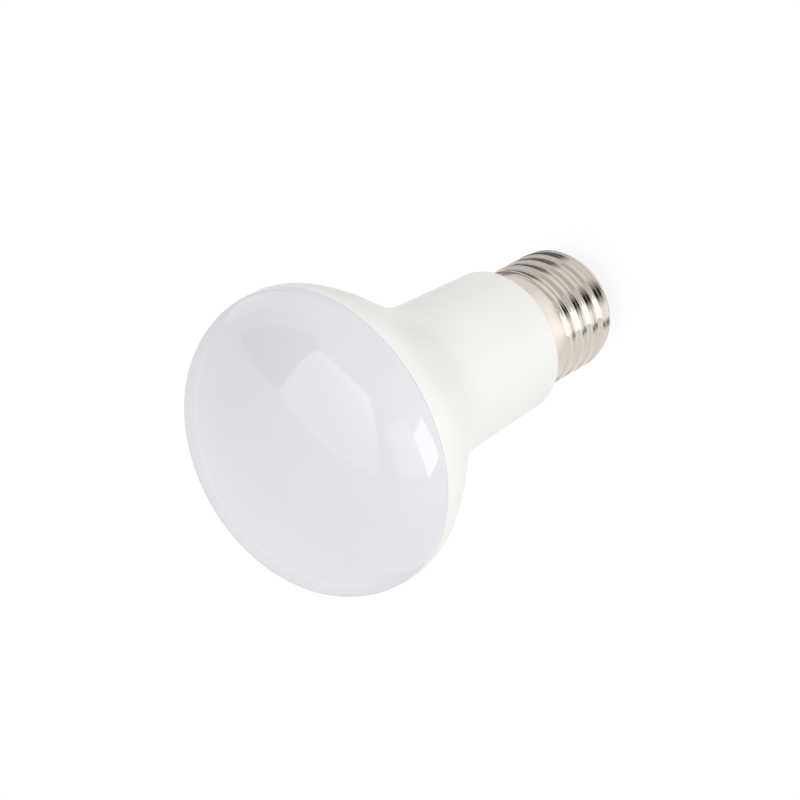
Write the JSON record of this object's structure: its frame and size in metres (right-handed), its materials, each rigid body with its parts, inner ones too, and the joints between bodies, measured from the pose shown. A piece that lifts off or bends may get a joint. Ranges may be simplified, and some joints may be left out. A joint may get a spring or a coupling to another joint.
{
  "type": "reflector bulb",
  "caption": "Reflector bulb with a domed opal diffuser, a flared moulded housing and a screw cap that carries it.",
  "frame": {"origin": "tip of the centre contact, on the lamp's axis", "axes": "+Z along the axis from the contact towards the diffuser; +X and +Y each through a crimp of the cap"},
  "size_m": [0.063, 0.063, 0.102],
  "materials": {
    "diffuser": "glossy opal white",
    "housing": "satin warm white",
    "cap_metal": "nickel plated, polished",
    "cap_glass": "opaque dark glass",
    "contact_metal": "plated button"
  },
  "bodies": {
    "root": {"diffuser": "diffuser", "housing": "housing", "screw_shell": "cap_metal", "cap_insulator": "cap_glass", "centre_contact": "contact_metal"}
  },
  "joints": []
}
